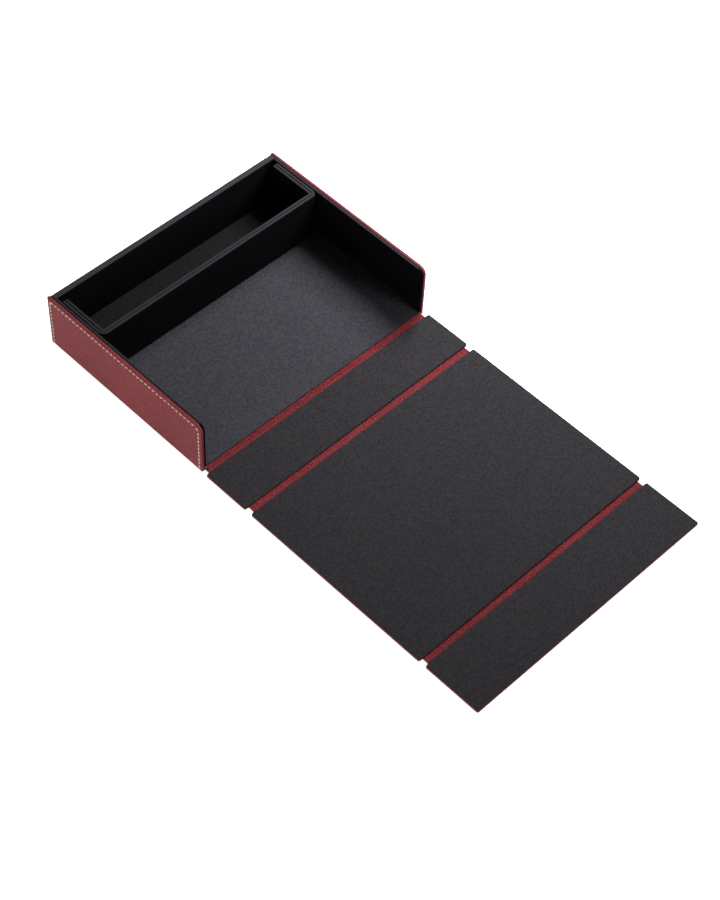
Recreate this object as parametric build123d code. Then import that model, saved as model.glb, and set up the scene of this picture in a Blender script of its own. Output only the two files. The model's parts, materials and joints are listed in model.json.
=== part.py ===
from build123d import *
import os
from math import hypot

# Dice storage chest, shown open: a low tray with a loose storage insert at its back, and a
# one-piece folding cover lying flat in front of it. Millimetres. X to the right, Y to the
# back, Z up. The origin is the middle of the tray's underside.

# ---- box -------------------------------------------------------------------------------
box_depth = 149.0  # red side panels, front edge to back edge
box_height = 43.2  # table to the top of the walls
tray_inner_width = 190.6
side_wall = 2.2  # black wrapped wall
back_wall = 4.2  # thicker: it holds the magnets
side_panel = 1.9  # red wrapped panel outside each side wall
side_panel_overhang = 1.0  # side panels reach past the back wall
front_corner_radius = 6.0  # top front corner of the walls and side panels
back_corner_radius = 0.8
black_wall_setback = 0.6  # black walls start behind the side panels' front edge
rim_radius = 0.5  # soft edge of a wrapped rim

# ---- sheet stock -----------------------------------------------------------------------
leatherette = 0.5
wall_fabric = 0.45
lining = 0.8  # microfibre on the tray floor
base_board = 1.5
floor_board = 2.4
base_side_gap = 0.2  # base to the side panels that cover its edges

# ---- cover -----------------------------------------------------------------------------
cover_overhang = 0.6  # cover past each side panel
cover_corner_radius = 1.2
cover_leather = 0.4
cover_board = 0.65
liner_card = 0.55
liner_fabric = 0.4
panel_edge_bevel = 0.25  # soft edge of a wrapped panel's outer face
hinge_lining = 0.35  # ribbed strip glued inside the outer skin at each fold
hinge_notch = 2.7  # the strips stop this far inside the panels' ends

# Where the cover lies when it is shut. The folds and the panels' lengths follow from these.
closing_gap = 0.2  # cover to the walls it lies on
front_panel_rise = 3.9  # front panel's lower edge above the table
front_panel_drop = 5.3  # front panel's upper edge below the lid's outer face
lid_front_setback = 1.7  # lid's front edge behind the front panel's outer face
lid_back_setback = 4.7  # lid's back edge ahead of the flap's outer face
flap_drop = 2.0  # flap's upper edge below the lid's outer face
flap_table_gap = 0.4  # flap's lower edge above the table

# ---- magnets ---------------------------------------------------------------------------
magnet_radius = 4.0
magnet_spacing = 60.0
magnet_height = 22.0  # above the table, cover shut
wall_magnet = 1.5
flap_magnet = 0.9
magnet_play = 0.1

# ---- storage insert --------------------------------------------------------------------
insert_side_play = 0.7  # to each side wall of the tray
insert_back_play = 0.5  # insert's floor to the back wall
insert_floor_depth = 42.2  # its floor, front to back, behind the outer wall
insert_rear_reveal = 4.1  # floor left bare behind the ends of the insert's side walls
insert_rim_drop = 0.4  # insert's rim below the tray's
insert_outer_wall = 1.9
insert_inner_wall = 1.8
insert_groove = 0.4  # between the two rims
insert_groove_depth = 3.0
insert_fabric = 0.4
insert_floor_board = 1.0
insert_floor_lining = 0.6
insert_outer_radius = 4.5  # front corners in plan
insert_inner_radius = 1.6
insert_end_radius = 0.7
insert_rim_radius = 0.45

# ---- places worked out from the sizes --------------------------------------------------
front = -box_depth / 2
back = box_depth / 2
wall_back = back - side_panel_overhang
base_layer = leatherette + base_board
floor_top = base_layer + floor_board + lining
wall_inside = tray_inner_width / 2
wall_outside = wall_inside + side_wall
base_width = 2 * (wall_outside - base_side_gap)
cover_width = 2 * (wall_outside + side_panel + cover_overhang)
outer_layer = cover_leather + cover_board
liner_layer = liner_fabric + liner_card
cover_thickness = outer_layer + liner_layer
hinge_width = cover_width - 2 * hinge_notch

lid_top = box_height + closing_gap + cover_thickness  # outer face of the shut lid
front_stand_off = closing_gap + cover_thickness  # shut front panel's face ahead of the box
flap_face = back + closing_gap + cover_thickness  # outer face of the shut flap

front_panel_length = lid_top - front_panel_drop - front_panel_rise
lid_front_edge = front - front_stand_off + lid_front_setback
lid_length = flap_face - lid_back_setback - lid_front_edge
flap_length = lid_top - flap_drop - flap_table_gap

# Each strip is as long as the straight line it spans when the cover is shut.
front_hinge = hypot(front_stand_off, front_panel_rise)
lid_hinge = hypot(front_panel_drop, lid_front_setback)
flap_hinge = hypot(lid_back_setback, flap_drop)

# The open cover lies on the table, one panel after another towards -Y.
front_panel_edge = front - front_hinge
lid_edge = front_panel_edge - front_panel_length - lid_hinge
flap_edge = lid_edge - lid_length - flap_hinge


def fold_axis(parent_edge, stand_off, rise, strip):
    """Where a strip's fold turns by 90 degrees: (y, z) of the axis with the cover open."""
    return parent_edge - (stand_off - rise + strip) / 2, (stand_off + rise - strip) / 2


folds = {
    "front_fold": fold_axis(front, front_stand_off, front_panel_rise, front_hinge),
    "lid_fold": fold_axis(
        front_panel_edge - front_panel_length, front_panel_drop, lid_front_setback, lid_hinge
    ),
    "flap_fold": fold_axis(lid_edge - lid_length, lid_back_setback, flap_drop, flap_hinge),
}


def block(x0, x1, y0, y1, z0, z1):
    """A box between two corners."""
    return Pos(x0, y0, z0) * Box(x1 - x0, y1 - y0, z1 - z0, align=Align.MIN)


def prism(points, z0, z1):
    """A plan outline raised from z0 to z1."""
    return Pos(0, 0, z0) * extrude(make_face(Polyline(*points, close=True)), z1 - z0)


def mirrored(solid):
    """The left-hand twin of a right-hand piece."""
    return mirror(solid, Plane.YZ)


# ---- base and tray floor ---------------------------------------------------------------
def make_base():
    half = base_width / 2
    leather = block(-half, half, front, wall_back, 0, base_layer)
    inner = half - leatherette
    board = block(-inner, inner, front, wall_back - leatherette, leatherette, base_layer)
    floor_front = front + black_wall_setback
    under_lining = floor_top - lining
    floor = block(-wall_inside, wall_inside, floor_front, wall_back - back_wall,
                  base_layer, floor_top)
    core = block(-wall_inside, wall_inside, floor_front + lining, wall_back - back_wall,
                 base_layer, under_lining)
    cover = floor - core
    front_edge = cover.edges().filter_by(Axis.X).group_by(Axis.Z)[-1].sort_by(Axis.Y)[0]
    return {
        "base_leather": leather - board,
        "base_board": board,
        "tray_floor_board": core,
        "tray_floor_lining": fillet(front_edge, rim_radius),
    }


# ---- walls -----------------------------------------------------------------------------
def side_profile(y0, y1, z0, z1, front_radius, back_radius):
    """Side view of a wall or side panel: square at the bottom, rounded at the top corners."""
    with BuildSketch(Plane.YZ) as sketch:  # in the sketch, x runs to the back and y up
        with Locations(((y0 + y1) / 2, (z0 + z1) / 2)):
            Rectangle(y1 - y0, z1 - z0)
        fillet(sketch.vertices().group_by(Axis.Y)[-1].sort_by(Axis.X)[0], front_radius)
        if back_radius:
            fillet(sketch.vertices().group_by(Axis.Y)[-1].sort_by(Axis.X)[-1], back_radius)
    return sketch.sketch


def make_side_wall():
    """Right-hand black wall: a board with fabric round it, mitred into the back wall."""
    start = front + black_wall_setback
    mitre = wall_back - back_wall
    plan = prism(
        [(wall_inside, start - 1), (wall_outside, start - 1), (wall_outside, wall_back),
         (wall_inside, mitre)], 0, box_height + 1,
    )

    def layer(skin):
        profile = side_profile(start + skin, wall_back, base_layer, box_height - skin,
                               front_corner_radius - skin, 0)
        return Pos(wall_inside + skin, 0, 0) * extrude(profile, side_wall - 2 * skin) & plan

    board = layer(wall_fabric)
    fabric = layer(0)
    rim = [e for e in fabric.edges() if e.center().Z > box_height - 0.01
           and abs(e.tangent_at(0.5).Y) > 0.99]
    fabric = fillet(rim, rim_radius) - board
    return {"wall_board": board, "wall_fabric": fabric}


def make_back_wall():
    """Back wall with mitred ends, and blind pockets for the magnets in its board."""
    def layer(skin):
        mitre_run = side_wall / back_wall  # the mitre's slope in plan
        inner = wall_inside + skin * mitre_run
        outer = wall_outside - skin * mitre_run
        y0, y1 = wall_back - back_wall + skin, wall_back - skin
        return prism([(-inner, y0), (inner, y0), (outer, y1), (-outer, y1)],
                     base_layer, box_height - skin)

    board, fabric = layer(wall_fabric), layer(0)
    top = fabric.edges().filter_by(Axis.X).group_by(Axis.Z)[-1]
    fabric = fillet(top, rim_radius) - board
    face = wall_back - wall_fabric
    pocket = Cylinder(magnet_radius + magnet_play, wall_magnet + magnet_play,
                      align=(Align.CENTER, Align.CENTER, Align.MIN))
    magnet = Cylinder(magnet_radius, wall_magnet,
                      align=(Align.CENTER, Align.CENTER, Align.MIN))
    places = [Pos(x, face, magnet_height) * Rot(90, 0, 0)
              for x in (-magnet_spacing / 2, magnet_spacing / 2)]
    for place in places:
        board -= place * pocket
    return {
        "back_wall_board": board,
        "back_wall_fabric": fabric,
        "back_wall_magnets": Compound(children=[place * magnet for place in places]),
    }


def make_side_panel():
    """Right-hand red panel: leatherette round a board, open where it is glued to the wall."""
    def layer(skin):
        profile = side_profile(front + skin, back - skin, skin, box_height - skin,
                               front_corner_radius - skin, max(back_corner_radius - skin, 0.1))
        return Pos(wall_outside, 0, 0) * extrude(profile, side_panel - skin)

    board, leather = layer(leatherette), layer(0)
    outer_face = leather.faces().sort_by(Axis.X)[-1]
    return {"side_board": board, "side_leather": fillet(outer_face.edges(), rim_radius) - board}


# ---- cover -----------------------------------------------------------------------------
def make_cover_panel(name, edge, length):
    """One cover panel from its near edge towards -Y: a leather-wrapped board below, and a
    fabric-wrapped card glued on top of it."""
    middle = Pos(0, edge - length / 2, 0)
    outline = middle * RectangleRounded(cover_width, length, cover_corner_radius)

    def inside(skin):
        return middle * RectangleRounded(cover_width - 2 * skin, length - 2 * skin,
                                         cover_corner_radius - skin)

    board = Pos(0, 0, cover_leather) * extrude(inside(cover_leather), cover_board)
    leather = extrude(outline, outer_layer)
    leather = chamfer(leather.faces().sort_by(Axis.Z)[0].edges(), panel_edge_bevel) - board
    card = Pos(0, 0, outer_layer) * extrude(inside(liner_fabric), liner_card)
    fabric = Pos(0, 0, outer_layer) * extrude(outline, liner_layer)
    fabric = chamfer(fabric.faces().sort_by(Axis.Z)[-1].edges(), panel_edge_bevel) - card
    return {
        f"{name}_leather": leather,
        f"{name}_board": board,
        f"{name}_liner_card": card,
        f"{name}_liner_fabric": fabric,
    }


def make_hinge(name, edge, span):
    """The outer skin across one fold, and the ribbed strip that lines it."""
    half = hinge_width / 2
    top = cover_leather + hinge_lining
    return {
        f"{name}_leather": block(-half, half, edge - span, edge, 0, cover_leather),
        f"{name}_lining": block(-half, half, edge - span, edge, cover_leather, top),
    }


def add_flap_magnets(nodes):
    """Discs in the flap that meet the back wall's when the cover is shut."""
    reach = lid_top - flap_drop - magnet_height  # from the flap's upper edge down
    z0 = outer_layer + liner_card - flap_magnet
    pocket = Cylinder(magnet_radius + magnet_play, flap_magnet,
                      align=(Align.CENTER, Align.CENTER, Align.MIN))
    magnet = Cylinder(magnet_radius, flap_magnet,
                      align=(Align.CENTER, Align.CENTER, Align.MIN))
    places = [Pos(x, flap_edge - reach, z0) for x in (-magnet_spacing / 2, magnet_spacing / 2)]
    for place in places:
        for layer in ("flap_board", "flap_liner_card"):
            nodes[layer] -= place * pocket
    nodes["flap_magnets"] = Compound(children=[place * magnet for place in places])


# ---- storage insert --------------------------------------------------------------------
def bay(half, depth, radius):
    """Plan of a bay that opens at y = 0, with rounded front corners at y = -depth."""
    return RectangleRounded(2 * half, 2 * depth, radius) & (
        Pos(0, -depth / 2) * Rectangle(2 * half, depth)
    )


def inset(plan, amount):
    """The same bay with its three walls moved in."""
    half, depth, radius = plan
    return half - amount, depth - amount, max(radius - amount, insert_end_radius / 2)


def u_wall(outer, inner, ends, z0, z1):
    """A wall on three sides between two bays, with its ends at y = ends."""
    return Pos(0, ends, z0) * extrude(bay(*outer) - bay(*inner), z1 - z0)


def ends_block(plan, ends, length, z0, z1):
    """What to take off a U-shaped wall to shorten its two ends."""
    return block(-plan[0], plan[0], ends - length, ends, z0, z1)


def soften_insert_wall(wall, ends):
    """Round the upright edges of the two ends, then the rim."""
    uprights = [e for e in wall.edges().filter_by(Axis.Z) if e.center().Y > ends - 0.01]
    wall = fillet(uprights, insert_end_radius)
    return fillet(wall.faces().sort_by(Axis.Z)[-1].edges(), insert_rim_radius)


def make_insert_outer_wall(outer, inner, ends, z0, rim):
    """U-shaped board, and the fabric over its faces, rim and ends."""
    skin = insert_fabric
    board_outer = inset(outer, skin)
    board_inner = inset(inner, -skin)
    board = u_wall(board_outer, board_inner, ends, z0, rim - skin)
    board -= ends_block(outer, ends, skin, z0, rim)
    fabric = soften_insert_wall(u_wall(outer, inner, ends, z0, rim), ends)
    return board, fabric - board


def make_insert_inner_wall(outer, inner, ends, z0, rim):
    """As the outer wall, but thicker below the groove, where it is glued to the outer one."""
    skin = insert_fabric
    upper_outer = (outer[0] - insert_groove, outer[1] - insert_groove, insert_inner_radius)
    groove_floor = rim - insert_groove_depth
    board_inner = inset(inner, -skin)
    board = u_wall(inset(outer, skin), board_inner, ends, z0, groove_floor - skin)
    board += u_wall(inset(upper_outer, skin), board_inner, ends, z0, rim - skin)
    board -= ends_block(outer, ends, skin, z0, rim)
    fabric = soften_insert_wall(u_wall(upper_outer, inner, ends, z0, rim), ends)
    thicker = u_wall(outer, upper_outer, ends, z0, groove_floor)
    fabric += thicker - ends_block(outer, ends, insert_end_radius, z0, rim)
    return board, fabric - board


def make_insert():
    half = wall_inside - insert_side_play
    floor_back = wall_back - back_wall - insert_back_play
    ends = floor_back - insert_rear_reveal
    rim = box_height - insert_rim_drop
    wall_depth = insert_outer_wall + insert_floor_depth - insert_rear_reveal
    outer = (half, wall_depth, insert_outer_radius)
    middle = inset(outer, insert_outer_wall)
    inner = inset(middle, insert_groove + insert_inner_wall)
    board_top = floor_top + insert_floor_board
    lining_top = board_top + insert_floor_lining
    outer_board, outer_fabric = make_insert_outer_wall(outer, middle, ends, floor_top, rim)
    inner_board, inner_fabric = make_insert_inner_wall(middle, inner, ends, lining_top, rim)
    floor_plan = bay(middle[0], insert_floor_depth, middle[2])
    return {
        "insert_outer_board": outer_board,
        "insert_outer_fabric": outer_fabric,
        "insert_inner_board": inner_board,
        "insert_inner_fabric": inner_fabric,
        "insert_floor_board": Pos(0, floor_back, floor_top)
        * extrude(floor_plan, insert_floor_board),
        "insert_floor_lining": Pos(0, floor_back, board_top)
        * extrude(floor_plan, insert_floor_lining),
    }


nodes = make_base()
for name, solid in {**make_side_wall(), **make_side_panel()}.items():
    nodes[f"right_{name}"] = solid
    nodes[f"left_{name}"] = mirrored(solid)
nodes.update(make_back_wall())
nodes.update(make_cover_panel("front_panel", front_panel_edge, front_panel_length))
nodes.update(make_cover_panel("lid", lid_edge, lid_length))
nodes.update(make_cover_panel("flap", flap_edge, flap_length))
nodes.update(make_hinge("front_hinge", front, front_hinge))
nodes.update(make_hinge("lid_hinge", lid_edge + lid_hinge, lid_hinge))
nodes.update(make_hinge("flap_hinge", flap_edge + flap_hinge, flap_hinge))
add_flap_magnets(nodes)
nodes.update(make_insert())

os.makedirs("parts", exist_ok=True)
for name, solid in nodes.items():
    export_step(solid, f"parts/{name}.step")
for name, (y, z) in folds.items():
    print(f"{name}: axis along X at y {y:.3f}, z {z:.3f}")
print(f"panels {front_panel_length:.2f}, {lid_length:.2f}, {flap_length:.2f}")
print(f"strips {front_hinge:.3f}, {lid_hinge:.3f}, {flap_hinge:.3f}")
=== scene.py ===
# %% [markdown]
# # Dressing a dice storage chest
# The chest is a shallow black tray between two red leatherette side panels. A loose storage
# insert stands at its back, and a one-piece folding cover lies open in front of it. The CAD
# model already holds every board, skin and fold at its real size, so this lesson loads it as
# a fixed frame and gives it what CAD leaves out: turned leather edges, stitching, ribbed
# hinge strips, microfibre and light.

import json
from math import cos, hypot, pi, radians, sin

import bmesh
import bpy
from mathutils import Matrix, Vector, noise

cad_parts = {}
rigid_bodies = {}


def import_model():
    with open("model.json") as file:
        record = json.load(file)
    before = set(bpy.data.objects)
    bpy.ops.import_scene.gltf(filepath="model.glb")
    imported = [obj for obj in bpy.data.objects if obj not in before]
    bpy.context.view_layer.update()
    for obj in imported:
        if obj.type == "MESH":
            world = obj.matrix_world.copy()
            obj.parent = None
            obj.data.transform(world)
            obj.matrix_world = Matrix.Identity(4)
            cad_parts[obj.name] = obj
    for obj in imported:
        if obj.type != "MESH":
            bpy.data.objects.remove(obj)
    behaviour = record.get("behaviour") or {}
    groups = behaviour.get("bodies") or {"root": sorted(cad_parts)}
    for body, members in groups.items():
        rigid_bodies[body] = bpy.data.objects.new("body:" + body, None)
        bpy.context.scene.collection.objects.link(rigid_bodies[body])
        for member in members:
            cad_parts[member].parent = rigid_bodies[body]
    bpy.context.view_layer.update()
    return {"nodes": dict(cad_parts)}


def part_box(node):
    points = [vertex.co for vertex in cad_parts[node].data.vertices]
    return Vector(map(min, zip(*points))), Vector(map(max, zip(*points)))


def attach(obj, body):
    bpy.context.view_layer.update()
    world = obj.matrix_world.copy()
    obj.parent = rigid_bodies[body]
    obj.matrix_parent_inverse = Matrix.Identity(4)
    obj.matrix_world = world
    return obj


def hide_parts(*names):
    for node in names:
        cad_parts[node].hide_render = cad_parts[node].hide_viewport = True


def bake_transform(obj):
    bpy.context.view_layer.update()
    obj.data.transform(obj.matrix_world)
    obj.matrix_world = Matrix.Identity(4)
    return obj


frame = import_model()
MM = 0.001
NEAR, EXACT = 0.01 * MM, 0.001 * MM  # how close two places are to count as one

# %% [markdown]
# ## The camera
# The view looks down on the chest from its front left corner. A long lens keeps the panels'
# edges nearly parallel. The camera's place and turn were worked out from the corners of the
# panels, whose real sizes are known, so they are written here as numbers.

# %% Camera
bpy.ops.object.camera_add(
    location=(-0.62174, -0.69856, 1.05912),
    rotation=[radians(angle) for angle in (38.1238, -1.9965, -44.3489)],
)
camera = bpy.context.object
camera.data.sensor_fit = "VERTICAL"
camera.data.sensor_height = 36
camera.data.lens = 84.36
camera.data.clip_start = 0.02
bpy.context.scene.camera = camera
bpy.context.scene.view_settings.view_transform = "Standard"
print("camera lens", camera.data.lens)

# %% [markdown]
# ## Sums on shader sockets
# A finish is mostly arithmetic on patterns. This small class wraps a socket, so that Python's
# own signs add the Math nodes, and one method adds a node of any other kind.

# %% A socket that can be added and multiplied
class Value:
    """A shader socket. Sums on it add Math nodes; node() adds any other node."""

    def __init__(self, socket):
        self.socket = socket

    def node(self, kind, settings, values, out=0):
        """Adds a node: its settings first, then the numbers or links of its sockets."""
        tree = self.socket.id_data
        new = tree.nodes.new(kind)
        for key, setting in settings.items():
            setattr(new, key, setting)
        for key, value in values.items():
            if isinstance(value, Value):
                tree.links.new(value.socket, new.inputs[key])
            else:
                new.inputs[key].default_value = value
        return Value(new.outputs[out])

    def maths(self, operation, *others):
        """A Math node on this value and others."""
        return self.node("ShaderNodeMath", {"operation": operation},
                         dict(enumerate((self, *others))))

    def __add__(self, other):
        return self.maths("ADD", other)

    def __sub__(self, other):
        return self.maths("SUBTRACT", other)

    def __rsub__(self, other):
        return self * -1 + other

    def __mul__(self, other):
        return self.maths("MULTIPLY", other)

    __radd__, __rmul__ = __add__, __mul__

    def between(self, low, high):
        """0 below low, 1 above high, and smooth between them."""
        return self.node("ShaderNodeMapRange", {"interpolation_type": "SMOOTHSTEP"},
                         {0: self, 1: low, 2: high})

    def shade(self, first, second):
        """A colour that runs from the first to the second as this value goes from 0 to 1."""
        return self.node("ShaderNodeMix", {"data_type": "RGBA"},
                         {0: self, 6: first, 7: second}, out=2)

    def noise(self, scale, detail=2.0, roughness=0.5):
        """Cloudy noise at this place, with scale in cells to the metre."""
        return self.node("ShaderNodeTexNoise", {},
                         {"Vector": self, "Scale": scale, "Detail": detail,
                          "Roughness": roughness})

    def axis(self, letter):
        """One part of a vector."""
        return self.node("ShaderNodeSeparateXYZ", {}, {0: self}, out="XYZ".index(letter))

    def stretched(self, x, y, z):
        """This place with each axis scaled."""
        return self.node("ShaderNodeVectorMath", {"operation": "MULTIPLY"},
                         {0: self, 1: (x, y, z)})

    def bump(self, depth, strength=1.0):
        """The surface tilted by this height. Depth is in metres at a height of 1."""
        return self.node("ShaderNodeBump", {},
                         {"Height": self, "Distance": depth, "Strength": strength})


def finish(name, **constants):
    """A new material. Returns it, its shader, and each point's place on the piece."""
    material = bpy.data.materials.new(name)
    material.use_nodes = True
    shader = material.node_tree.nodes["Principled BSDF"]
    for socket, value in constants.items():
        shader.inputs[socket.replace("_", " ")].default_value = value
    place = material.node_tree.nodes.new("ShaderNodeTexCoord").outputs["Object"]
    return material, shader, Value(place)


def feed(shader, **links):
    """Links values into a shader's sockets."""
    for socket, value in links.items():
        shader.id_data.links.new(value.socket, shader.inputs[socket.replace("_", " ")])


def colour(red, green, blue, level=1.0):
    """A colour for a socket, made brighter or darker by level."""
    return (red * level, green * level, blue * level, 1)


def seen_by_eye(tree):
    """1 for rays from the camera or by way of a shine or a clear surface, else 0."""
    path = tree.nodes.new("ShaderNodeLightPath")
    return (Value(path.outputs["Is Camera Ray"]) + Value(path.outputs["Is Glossy Ray"])
            + Value(path.outputs["Is Transmission Ray"])).maths("MINIMUM", 1)


WHITE = colour(1, 1, 1)
print("shader sums ready")

# %% [markdown]
# ## Red leatherette
# The side panels and the outside of the cover are one coated cloth. Its coat is embossed with
# a pebble grain about a millimetre across: flat-topped cells with narrow valleys. A Voronoi
# pattern gives the cells, and noise bends them so that no cell repeats. The valleys are
# painted darker, a painted shade in the hollows, and they are duller than the tops, which rub
# against everything. The strips across the folds wear the same cloth, a little darker.

# %% Pebbled leatherette
PEBBLE = 0.95 * MM
PEBBLE_DEPTH = 0.20 * MM


def pebbles(place, cell):
    """Height of a pebble grain: 1 on a pebble's top, 0 in the valleys."""
    bent = place.node("ShaderNodeVectorMath", {"operation": "MULTIPLY_ADD"},
                      {0: place.node("ShaderNodeTexNoise", {},
                                     {"Vector": place, "Scale": 0.55 / cell}, out=1),
                       1: (cell, cell, cell), 2: place})
    cells = bent.node("ShaderNodeTexVoronoi", {"feature": "DISTANCE_TO_EDGE"},
                      {"Vector": bent, "Scale": 1 / cell, "Randomness": 0.95})
    return cells.between(0.0, 0.28)


def red_leatherette(name, light, valley_shade, roughness, gloss):
    """The red coated cloth in two shades: its own on the pebbles, painted shade in the
    valleys.
    """
    material, shader, place = finish(name, Specular_IOR_Level=gloss)
    grain = pebbles(place, PEBBLE)
    fine = place.noise(2600.0, 3.0)
    cloud = place.noise(28.0, 2.0).between(0.3, 0.7)
    # The valleys take the darker colour: painted shade in the hollows of the grain.
    tone = (grain * 0.6 + cloud * 0.2 + fine * 0.4).between(0.1, 1.1)
    feed(shader,
         Base_Color=tone.shade(valley_shade, light),
         Roughness=roughness + 0.16 * (1 - grain) + 0.08 * (fine - 0.5),
         Normal=(fine * 0.2 + grain).bump(PEBBLE_DEPTH))
    return material


# Each second colour is the painted shade in the valleys.
leather_red = red_leatherette("red_leatherette", colour(0.335, 0.056, 0.063),
                              colour(0.175, 0.0242, 0.0288), roughness=0.46, gloss=0.14)
strip_red = red_leatherette("hinge_leatherette", colour(0.305, 0.045, 0.052),
                            colour(0.165, 0.020, 0.025), roughness=0.42, gloss=0.08)
print("finishes:", leather_red.name, strip_red.name)

# %% [markdown]
# ## Black microfibre
# The floor, the cover's lining and the walls wear the same kind of brushed microfibre. From
# a step away it is a flat dark grey, but its short nap leans in small patches, which gives a
# soft mottle, partly a little blue and partly a little brown. One noise makes the patches,
# another their hue and a fine one the fibres, and a stretched one brushes them along the
# chest. A trace of sheen gives the soft light of the nap's tips.

# %% Microfibre
COOL, WARM = (0.96, 0.99, 1.06), (1.04, 1.01, 0.95)  # the hue's two ends
RIM_FADE = (1.1 * MM, 0.15 * MM)  # the painted rim light starts and is full this far below its top
RIM_GAP_SHADE = (95.9 * MM, 96.8 * MM)  # from here outwards the painted rim light fades: painted shade beside the red panel


def microfibre(name, base, mottle, nap, rim=None):
    """Brushed cloth around a base colour. Mottle is how strong its patches are and nap is
    how deep its fibres stand. Rim is the height of a wrapped edge and a paler colour painted
    along it: painted light on the rim's top, held back on its outer part as painted shade."""
    material, shader, place = finish(name, Specular_IOR_Level=0.0, Sheen_Weight=0.015,
                                     Sheen_Roughness=0.4)
    patches = place.noise(680.0, 3.0, 0.75).between(0.34, 0.66)
    hue = place.noise(650.0, 1.0).between(0.35, 0.65)
    fibres = place.noise(1900.0, 2.0, 0.7)
    brushed = place.stretched(1.0, 0.25, 1.0).noise(1500.0, 1.0)
    level = 1 + mottle * (patches - 0.5) + 1.6 * mottle * (fibres - 0.5)
    cool, warm = (colour(*(c * k for c, k in zip(base, tint))) for tint in (COOL, WARM))
    cloth = hue.shade(cool, warm)
    if rim is not None:
        # Painted light: the rim's top is painted paler, as where the lamps catch it.
        height, rim_light = rim
        edge = place.axis("Z").between(*(height - below for below in RIM_FADE))
        # Painted shade: the rim light fades on the outer part, in the gap beside the red
        # panel.
        gap_shade = place.axis("X").maths("ABSOLUTE").between(*RIM_GAP_SHADE)
        cloth = (edge * (1 - 0.75 * gap_shade)).shade(cloth, colour(*rim_light))
    toned = cloth.node("ShaderNodeVectorMath", {"operation": "SCALE"},
                       {0: cloth, "Scale": level})
    feed(shader, Base_Color=toned, Roughness=0.86 + 0.1 * (fibres - 0.5),
         Normal=(fibres * 0.7 + brushed * 0.5).bump(nap, 0.6))
    return material


floor_cloth = microfibre("floor_microfibre", (0.0560, 0.0540, 0.0640),
                         mottle=0.50, nap=0.13 * MM)
cover_cloth = microfibre("cover_microfibre", (0.0395, 0.0368, 0.0408),
                         mottle=0.44, nap=0.12 * MM)
insert_floor_cloth = microfibre("insert_floor_microfibre", (0.0165, 0.0156, 0.0162),
                                mottle=0.40, nap=0.10 * MM)
print("finishes:", floor_cloth.name, cover_cloth.name, insert_floor_cloth.name)

# %% [markdown]
# The walls of the tray and of the insert wear a deeper pile. Nearly black across its face, it
# is partly the cloth's own black and partly painted shade where the lamps hardly reach the
# walls.
# The rims are painted grey, a painted light where the tops of the walls catch the lamps.
# The two rims stand at slightly different heights, so each has its own finish.

# %% Wall cloth
tray_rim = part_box("back_wall_fabric")[1].z
insert_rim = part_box("insert_outer_fabric")[1].z
# The pile's base is partly painted shade on the walls' faces; the rim colours are painted
# light.
PILE = {"base": (0.0052, 0.0048, 0.0060), "mottle": 0.2, "nap": 0.08 * MM}
wall_cloth = microfibre("wall_microfibre", **PILE, rim=(tray_rim, (0.048, 0.046, 0.053)))
insert_cloth = microfibre("insert_microfibre", **PILE, rim=(insert_rim, (0.040, 0.038, 0.044)))
print("rims at", round(tray_rim / MM, 2), "and", round(insert_rim / MM, 2), "mm")

# %% [markdown]
# ## Parts that hardly show
# Greyboard is pressed from waste paper: dull grey-brown with specks. The magnets are nickel
# plated discs with fine turning marks. Both are inside the wrapped boards, but whoever opens
# the model meets them, so each gets its own finish.

# %% Greyboard and magnets
greyboard, shader, place = finish("greyboard", Specular_IOR_Level=0.15)
specks = place.noise(900.0, 4.0, 0.7).between(0.35, 0.75)
pulp = place.stretched(1.0, 0.2, 1.0).noise(700.0, 2.0)
feed(shader, Base_Color=specks.shade(colour(0.26, 0.24, 0.21), colour(0.40, 0.37, 0.33)),
     Roughness=0.85 + 0.1 * (pulp - 0.5), Normal=(specks + pulp).bump(0.05 * MM, 0.5))

nickel, shader, place = finish("nickel_plate", Metallic=1.0)
turning = place.noise(1800.0, 2.0)
feed(shader, Base_Color=turning.shade(colour(0.66, 0.65, 0.62), colour(0.78, 0.77, 0.75)),
     Roughness=0.22 + 0.12 * turning, Normal=turning.bump(0.01 * MM, 0.4))
print("finishes:", greyboard.name, nickel.name)

# %% [markdown]
# Every CAD node gets its finish through its material slots, which leaves its mesh untouched.

# %% Finishes on the CAD nodes
def finish_of(node):
    """Which finish a CAD node wears, from what it is."""
    if node.endswith("magnets"):
        return nickel
    if node.endswith(("_board", "_card")):
        return greyboard
    if node.endswith("_leather") or "hinge" in node:
        return leather_red
    if node == "tray_floor_lining":
        return floor_cloth
    if node == "insert_floor_lining":
        return insert_floor_cloth
    if node.endswith("liner_fabric"):
        return cover_cloth
    return insert_cloth if node.startswith("insert") else wall_cloth


for node, piece in frame["nodes"].items():
    piece.data.materials.clear()
    piece.data.materials.append(finish_of(node))
print("dressed", len(frame["nodes"]), "nodes")

# %% [markdown]
# ## Tools for shaping by hand
# A Blender operator acts on what is selected. These helpers choose whole pieces, pick faces,
# edges or points by where they are, and close a piece off: its place stays in its mesh, its
# object sits at the origin, and it rides on its CAD body.

# %% Selection helpers
def deselect_all():
    for piece in bpy.context.view_layer.objects:
        piece.select_set(False)


def choose(*pieces):
    """Selects these pieces and no others, with the first of them active."""
    deselect_all()
    for piece in pieces:
        piece.select_set(True)
    bpy.context.view_layer.objects.active = pieces[0]


def enter(piece, kind="FACE"):
    """Opens a piece in edit mode with nothing selected."""
    choose(piece)
    bpy.ops.object.mode_set(mode="EDIT")
    bpy.ops.mesh.select_mode(type=kind)
    bpy.ops.mesh.select_all(action="DESELECT")


def leave():
    bpy.ops.object.mode_set(mode="OBJECT")


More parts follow.
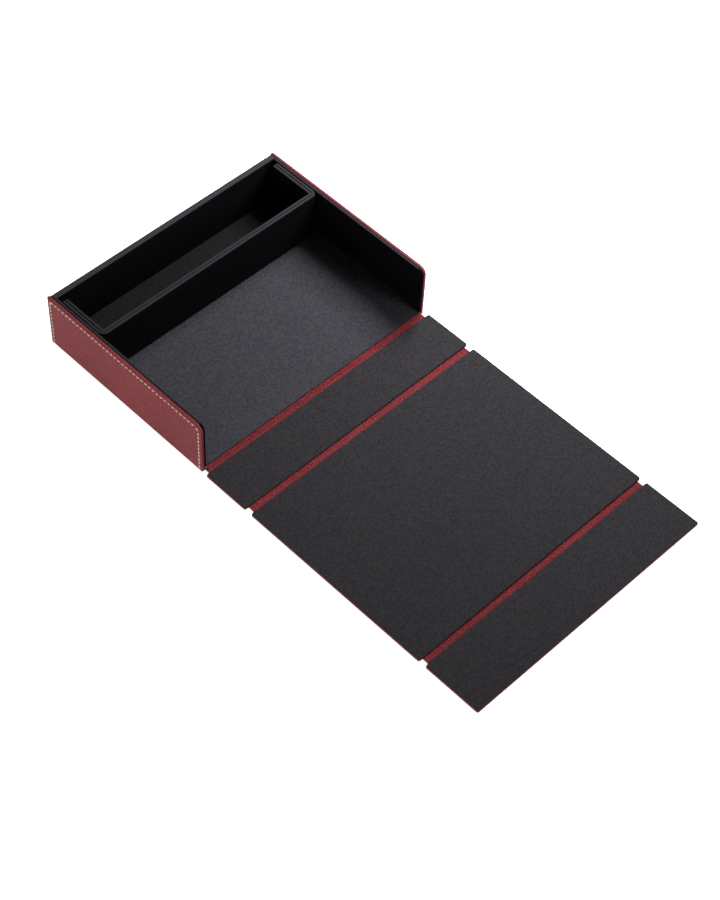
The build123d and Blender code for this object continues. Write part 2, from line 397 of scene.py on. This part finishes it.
def pick(kind, test):
    """Selects the faces, edges or verts for which test is true, and nothing else."""
    mesh = bpy.context.object.data
    shape = bmesh.from_edit_mesh(mesh)
    bpy.ops.mesh.select_all(action="DESELECT")
    for part in getattr(shape, kind):
        if test(part):
            part.select_set(True)
    shape.select_flush_mode()
    bmesh.update_edit_mesh(mesh)


def middle(edge):
    return (edge.verts[0].co + edge.verts[1].co) / 2


def along(edge, axis):
    """How nearly an edge runs along an axis, from 0 to 1."""
    run = edge.verts[1].co - edge.verts[0].co
    return abs(run.normalized()[axis]) if run.length else 0.0


def cuboid(name, low, high):
    """A block between two corners, in metres, with its place in its mesh."""
    deselect_all()
    low, high = Vector(low), Vector(high)
    bpy.ops.mesh.primitive_cube_add(size=1, location=(low + high) / 2)
    block = bpy.context.object
    block.name = block.data.name = name
    block.scale = high - low
    bpy.ops.object.transform_apply(location=True, rotation=True, scale=True)
    return block


def bevel(width, segments, clamp=False):
    """Rounds the selected edges."""
    bpy.ops.mesh.bevel(offset=width, segments=segments, affect="EDGES", clamp_overlap=clamp)


def dress(piece, material, body, slot, *nodes):
    """Gives a finished piece its material and CAD body and hides the nodes it stands for. Slot
    is not used.
    """
    piece.data.materials.clear()
    piece.data.materials.append(material)
    choose(piece)
    bpy.ops.object.shade_smooth_by_angle(angle=radians(38))
    if body:
        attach(piece, body)
    if nodes:
        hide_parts(*nodes)
    print(f"{piece.name}: {len(piece.data.polygons)} faces")


print("shaping helpers ready")

# %% [markdown]
# ## Tray floor
# The floor's lining lies flat almost to its front edge, eases down two millimetres there and
# turns over the board with a tight fold, so that the red strip starts right below it. The
# board under it eases down with it. Each is a block with a cut across it, whose front edge
# is lowered: only the top one on the board, both on the lining, which is thin.

# %% Floor lining and board that ease down at the front
LINING, EASE, FALL = 0.4 * MM, 14.0 * MM, 2.0 * MM


def eased_block(name, low, high, fold):
    """A block whose top falls a little over its front few millimetres."""
    block = cuboid(name, low, high)
    enter(block, "EDGE")
    bpy.ops.mesh.select_all(action="SELECT")
    bpy.ops.mesh.bisect(plane_co=(0, low.y + EASE, 0), plane_no=(0, 1, 0))
    thin = high.z - low.z < 1.0 * MM
    pick("edges", lambda e: along(e, 0) > 0.99 and middle(e).y < low.y + NEAR
         and (thin or middle(e).z > high.z - NEAR))
    bpy.ops.transform.translate(value=(0, 0, -FALL))
    pick("edges", lambda e: along(e, 0) > 0.99 and middle(e).y < low.y + NEAR
         and middle(e).z > high.z - FALL - NEAR)
    bevel(fold, 4)
    leave()
    return block


low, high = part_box("tray_floor_lining")
low.y -= 0.1 * MM  # the turned edge bulges a little past the board
lining = eased_block("tray_floor_cover", Vector((low.x, low.y, high.z - LINING)), high,
                     0.3 * MM)
turned = cuboid("turned_down_front", low, (high.x, low.y + LINING, high.z - LINING - FALL))
choose(lining, turned)
bpy.ops.object.join()
dress(lining, floor_cloth, "tray", "floor_microfibre", "tray_floor_lining")
low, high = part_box("tray_floor_board")
board = eased_block("tray_floor_core", low, high, 0.2 * MM)
dress(board, greyboard, "tray", "greyboard", "tray_floor_board")

# %% [markdown]
# ## Cover panels
# Each panel is two wrapped layers glued back to back: a thin board in red leatherette, and a
# card in black microfibre on top. A wrapped edge is never sharp, because the material goes
# round the board. So each layer starts as a block of the CAD layer's size, its four corners
# are rounded in plan, and then the edges round its show face get a small radius. The leather
# stands a little past the card at the panel's sides and shows there as a thin red line.

# %% Wrapped layers of the cover
WRAP_OUT, WRAP_UP = 0.14, 0.6  # how far the leather stands past the CAD skin, in mm
COVER_CORNER = 1.2 * MM


def wrapped_layer(name, node, show_up, edge_radius, grow=(0, 0, 0)):
    """A cover layer with rounded corners and a soft edge on its show face. Grow is how much
    larger it is than its CAD node, in mm: at both sides, at the front and at the top."""
    low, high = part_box(node)
    across, forward, up = (g * MM for g in grow)
    layer = cuboid(name, low - Vector((across, forward, 0)), high + Vector((across, 0, up)))
    enter(layer, "EDGE")
    pick("edges", lambda e: along(e, 2) > 0.99)
    bevel(COVER_CORNER, 5)
    face_z = high.z if show_up else low.z
    pick("edges", lambda e: all(abs(v.co.z - face_z) < EXACT for v in e.verts))
    bevel(edge_radius, 4, clamp=True)
    leave()
    return layer


for panel in ("front_panel", "lid", "flap"):
    free_front = WRAP_OUT if panel == "flap" else 0
    skin = wrapped_layer(f"{panel}_wrapped_leather", f"{panel}_leather", False, 0.22 * MM,
                         (WRAP_OUT, free_front, WRAP_UP))
    dress(skin, leather_red, panel, "red_leather", f"{panel}_leather")
    lining = wrapped_layer(f"{panel}_wrapped_lining", f"{panel}_liner_fabric", True, 0.4 * MM)
    dress(lining, cover_cloth, panel, "cover_microfibre", f"{panel}_liner_fabric")

# %% [markdown]
# ## Ribbed hinge strips
# Between the panels the cover is only skin and lining, so that it can fold. The lining there
# is embossed with fine ribs that run across the strip, which let it gather when the cover
# shuts. A grid one rib wide is repeated by an Array modifier, and its points are then lifted:
# low where the strip dives under the panels' edges, full in the middle, with the ribs
# standing up towards its back edge and small puckers between. The first strip's back edge
# also climbs the tray's front face, as far as the lowered edge of the floor.

# %% One strip across a fold
RIB = 1.7 * MM
SINK, CROWN, RIPPLE, PUCKER = 0.18, 0.16, 0.10, 0.22  # heights of its surface, in mm
RIB_HEIGHT, RIB_GATHER = 0.10, 0.26  # a rib's height, and what its back end adds, in mm
PUCKER_SHIFT, RIB_SHIFT = 0.12, 0.25  # how far they move to and fro, in mm
THINNER = 0.35 * MM  # the strip is this much thinner than the CAD skin and lining
CLIMB_ENDS, CLIMB_FADE = 95.6 * MM, 0.4 * MM  # the climb stays between the side walls


def hinge_strip(name, node_under, node_over, climb=0.0):
    """A ribbed strip that stands for the CAD skin and lining of one fold. Climb is how far
    its back edge runs up the face behind it."""
    low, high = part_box(node_under)[0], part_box(node_over)[1]
    count = round((high.x - low.x) / RIB)
    pitch = (high.x - low.x) / count
    deselect_all()
    bpy.ops.mesh.primitive_grid_add(
        x_subdivisions=6, y_subdivisions=12, size=1,
        location=(low.x + pitch / 2, (low.y + high.y) / 2, high.z))
    strip = bpy.context.object
    strip.name = strip.data.name = name
    strip.scale = (pitch, high.y - low.y, 1)
    bpy.ops.object.transform_apply(location=True, rotation=True, scale=True)
    repeat = strip.modifiers.new("repeat", "ARRAY")
    repeat.count, repeat.use_merge_vertices = count, True
    repeat.use_relative_offset, repeat.use_constant_offset = False, True
    repeat.constant_offset_displace = (pitch, 0, 0)
    repeat.merge_threshold = 0.01 * MM
    bpy.ops.object.modifier_apply(modifier="repeat")
    width = high.y - low.y
    for v in strip.data.vertices:
        t = (v.co.y - low.y) / width  # 0 at the strip's front edge, 1 at its back edge
        crown = 4 * t * (1 - t)
        pucker = noise.noise(Vector((v.co.x / (1.5 * MM), 0.7, low.y * 50)))
        ripple = noise.noise(Vector((v.co.x / (7 * MM), 3.1, t)))
        rib = sin(pi * ((v.co.x - low.x) / pitch % 1.0)) ** 0.8
        near_back = max(0.0, (t - 0.25) / 0.75)
        v.co.z += MM * (CROWN * crown - SINK + RIPPLE * ripple * crown
                        + rib * (RIB_HEIGHT + RIB_GATHER * near_back)
                        + PUCKER * pucker * near_back * (1 - near_back) * 4)
        v.co.y += MM * crown * (PUCKER_SHIFT * pucker - RIB_SHIFT * rib * near_back)
        between_walls = min(1.0, max(0.0, (CLIMB_ENDS - abs(v.co.x)) / CLIMB_FADE))
        v.co.z += climb * between_walls * max(0.0, (t - 0.3) / 0.7) ** 1.6
    thick = strip.modifiers.new("thick", "SOLIDIFY")
    thick.thickness, thick.offset = high.z - low.z - THINNER, -1
    bpy.ops.object.modifier_apply(modifier="thick")
    dress(strip, strip_red, None, "hinge_lining", node_under, node_over)
    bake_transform(strip)


for fold, parent, child, climb in (("front_hinge", "tray", "front_panel", 2.1 * MM),
                                   ("lid_hinge", "front_panel", "lid", 0.0),
                                   ("flap_hinge", "lid", "flap", 0.0)):
    hinge_strip(f"{fold}_strip", f"{fold}_leather", f"{fold}_lining", climb)

# %% [markdown]
# ## Side panels
# The two side panels are the showpiece: leatherette wrapped round a board and sewn along
# the back, top and front edges. Thread pulls the leather down into a shallow channel and
# leaves a soft roll between channel and edge. A block gets the panel's outline by rounding
# two corners. Repeated insets of the outer face give rings that follow the outline, two of
# which are pushed in for the channel, and the face's edge is rounded last. The block starts
# taller than the panel and is cut off at the table, because no stitches run along the
# bottom.

# %% Red side panel with its sewn channel
STITCH_INSET = 2.7 * MM
FRONT_CORNER, BACK_CORNER, PANEL_EDGE = 6 * MM, 0.8 * MM, 0.5 * MM
BELOW_TABLE = 8 * MM
SIDE_AREA = 0.001  # square metres: only the large outer face is larger
# How wide each ring of the outer face is and how far its inside is pushed out, in mm
RINGS = ((0.9, 0.0), (1.15, 0.0), (0.3, -0.10), (0.35, -0.16), (0.35, 0.16), (0.35, 0.10),
         (1.2, 0.0))


def side_panel(name, node, side):
    """A wrapped panel on one side: -1 left, 1 right."""
    low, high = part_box(node)
    panel = cuboid(name, (low.x, low.y, low.z - BELOW_TABLE), high)
    outer = high.x if side > 0 else low.x
    enter(panel, "EDGE")
    pick("edges", lambda e: along(e, 0) > 0.99 and middle(e).z > high.z - MM
         and middle(e).y < 0)
    bevel(FRONT_CORNER, 14)
    bpy.ops.mesh.select_mode(type="FACE")
    pick("faces", lambda f: f.normal.x * side > 0.99 and f.calc_area() > SIDE_AREA)
    for step, push in RINGS:
        bpy.ops.mesh.inset(thickness=step * MM, depth=0)
        bpy.ops.transform.translate(value=(side * push * MM, 0, 0))
    bpy.ops.mesh.select_mode(type="EDGE")
    pick("edges", lambda e: along(e, 0) > 0.99 and middle(e).z > high.z - 0.1 * MM
         and middle(e).y > 0)
    bevel(BACK_CORNER, 4)
    pick("edges", lambda e: all(abs(v.co.x - outer) < EXACT for v in e.verts)
         and any(f.normal.x * side < 0.5 for f in e.link_faces))
    bevel(PANEL_EDGE, 4)
    bpy.ops.mesh.select_all(action="SELECT")
    bpy.ops.mesh.bisect(plane_co=(0, 0, low.z), plane_no=(0, 0, 1), clear_inner=True,
                        use_fill=True)
    leave()
    dress(panel, leather_red, "tray", "red_leather", node)


side_panel("left_sewn_panel", "left_side_leather", -1)
side_panel("right_sewn_panel", "right_side_leather", 1)

# %% [markdown]
# ## Stitches
# The thread is cream, two strands twisted, in running stitches 3.7 mm apart. A stitch shows
# as a short bead that dips into a hole at each end. One bead is modelled from a sphere,
# flattened and drawn in at its ends, and copied along the sewn line with a little change in
# length and lean, because no row of hand-guided stitches is perfectly even.

# %% Thread
thread, shader, place = finish("cream_thread", Specular_IOR_Level=0.5, Sheen_Weight=0.5)
uv = Value(shader.id_data.nodes.new("ShaderNodeTexCoord").outputs["UV"])
twist = (uv.axis("X") * 2 + uv.axis("Y") * 3.5).maths("FRACT")
strand = (twist - 0.5).maths("ABSOLUTE") * 2
fuzz = place.noise(6000.0, 2.0)
# Painted shade: the colour darkens in the grooves between the two strands; the fuzz varies it
# at random.
feed(shader, Base_Color=(strand * 0.7 + fuzz * 0.4).between(0.1, 1.0).shade(
        colour(0.66, 0.50, 0.40), colour(0.95, 0.84, 0.72)),
     Roughness=0.6 + 0.2 * fuzz, Normal=strand.bump(0.06 * MM, 0.7))
print("finish:", thread.name)

# %% One stitch, and the line that it follows
STITCH_PITCH = 3.7 * MM
SEWN_FROM = 1.2 * MM  # how far above the table the sewn line starts and ends
HALF_LENGTH, HALF_WIDTH, FLATNESS, DIP = 1.32, 0.5, 0.8, 0.32  # of one stitch, in mm
STITCH_SUNK = 0.02 * MM


def stitch_bead():
    """One stitch along +Y with its top towards +X, centred at the origin."""
    deselect_all()
    bpy.ops.mesh.primitive_uv_sphere_add(segments=10, ring_count=12, radius=1,
                                         location=(0, 0, 0), rotation=(pi / 2, 0, 0))
    bead = bpy.context.object
    bpy.ops.object.transform_apply(location=True, rotation=True, scale=True)
    for v in bead.data.vertices:
        t = v.co.y  # -1 at one end of the stitch, 1 at the other
        ring = max(hypot(v.co.x, v.co.z), 0.2)
        waist = (1 - t ** 6) * HALF_WIDTH / ring if abs(t) < 0.99 else 0.1
        v.co.x = v.co.x * waist * FLATNESS - DIP * t ** 4
        v.co.y, v.co.z = t * HALF_LENGTH, v.co.z * waist
        v.co *= MM
    return bead


def spaced(start, end):
    """The middles of equal steps, each about one stitch pitch long, between two places."""
    steps = round(abs(end - start) / STITCH_PITCH)
    return [start + (i + 0.5) * (end - start) / steps for i in range(steps)]


def sewn_line(low, high):
    """Points (y, z, dy, dz) along the sewn line: up the back, forward, one across the round
    corner, and down the front."""
    back, top, front = high.y - STITCH_INSET, high.z - STITCH_INSET, low.y + STITCH_INSET
    foot, turn, slant = low.z + SEWN_FROM, FRONT_CORNER - STITCH_INSET, cos(pi / 4)
    return ([(back, z, 0, 1) for z in spaced(foot, top)]
            + [(y, top, -1, 0) for y in spaced(back, front + turn)]
            + [(front + turn * (1 - slant), top - turn * (1 - slant), -slant, -slant)]
            + [(front, z, 0, -1) for z in spaced(top - turn, foot)])


def sew(name, node, side, bead):
    """Copies the bead along one panel's sewn line and joins the copies into one thread."""
    low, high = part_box(node)
    outer = high.x if side > 0 else low.x
    copies = []
    for i, (y, z, dy, dz) in enumerate(sewn_line(low, high)):
        stitch = bead.copy()
        stitch.data = bead.data.copy()
        bpy.context.scene.collection.objects.link(stitch)
        long = 1 + 0.08 * noise.noise(Vector((i * 1.7, side, 0.3)))
        lean = 0.05 * noise.noise(Vector((i * 2.3, 5.1, side)))
        for v in stitch.data.vertices:
            run, up = v.co.y * long, v.co.z + v.co.y * lean
            v.co = Vector((outer + side * (v.co.x - STITCH_SUNK), y + run * dy - up * dz,
                           z + run * dz + up * dy))
        copies.append(stitch)
    choose(*copies)
    bpy.ops.object.join()
    row = bpy.context.object
    row.name = row.data.name = name
    enter(row, "FACE")
    bpy.ops.mesh.select_all(action="SELECT")
    bpy.ops.mesh.normals_make_consistent(inside=False)
    leave()
    print(name, len(copies), "stitches")
    dress(row, thread, "tray", "red_leather")


bead = stitch_bead()
sew("left_stitches", "left_side_leather", -1, bead)
sew("right_stitches", "right_side_leather", 1, bead)
bpy.data.objects.remove(bead)

# %% [markdown]
# ## Floor and light
# The chest stands on a plain white floor under a soft lamp on its right, which lays the right
# wall's shadow on the tray's floor. A weaker lamp from the front right thins that shadow
# towards the open front, and a long low one lights the sewn panel on the left. The floor and
# the world look white to the camera, and the floor still shows the chest's shadow. A dim
# world fills the shadows.

# %% White floor
FLOOR_GLOW, FLOOR_SIZE, FLOOR_DROP = 0.92, 8.0, 0.05 * MM
bpy.ops.mesh.primitive_plane_add(size=FLOOR_SIZE, location=(0, 0, -FLOOR_DROP))
ground = bpy.context.object
ground.name = "white_floor"
paper, shader, _ = finish("white_floor", Roughness=0.9, Specular_IOR_Level=0.0)
shader.inputs["Base Color"].default_value = colour(1, 1, 1, 0.85)
tree = paper.node_tree
seen = seen_by_eye(tree)
glow = seen.node("ShaderNodeEmission", {}, {"Color": WHITE, "Strength": seen * FLOOR_GLOW})
both = glow.node("ShaderNodeAddShader", {}, {0: glow, 1: Value(shader.outputs[0])})
tree.links.new(both.socket, tree.nodes["Material Output"].inputs["Surface"])
ground.data.materials.append(paper)
print("floor glow", FLOOR_GLOW)

# %% World
FILL = 0.045
world = bpy.data.worlds.new("studio")
bpy.context.scene.world = world
world.use_nodes = True
tree = world.node_tree
tree.nodes["Background"].inputs["Color"].default_value = WHITE
strength = FILL + seen_by_eye(tree) * (1 - FILL)
tree.links.new(strength.socket, tree.nodes["Background"].inputs["Strength"])
print("world fill", FILL)

# %% Lamps
def soft_lamp(name, place, aim, size, power):
    """A rectangular lamp that looks at a point and isn't seen itself. Its size is in metres
    and its power in watts."""
    turn = (Vector(aim) - Vector(place)).to_track_quat("-Z", "Y").to_euler()
    bpy.ops.object.light_add(type="AREA", location=place, rotation=turn)
    lamp = bpy.context.object
    lamp.name = name
    lamp.data.shape = "RECTANGLE"
    lamp.data.size, lamp.data.size_y = size
    lamp.data.energy = power
    lamp.visible_camera = False
    print(name, power, "W")


soft_lamp("key", (0.35, 0.0, 0.37), (0, -0.06, 0), (0.20, 0.20), 3.5)
soft_lamp("front", (0.40, -1.0, 0.60), (0, -0.06, 0), (0.35, 0.35), 3.5)
soft_lamp("low_left", (-1.3, -0.25, 0.12), (0, -0.05, 0.03), (1.6, 0.22), 10.4)
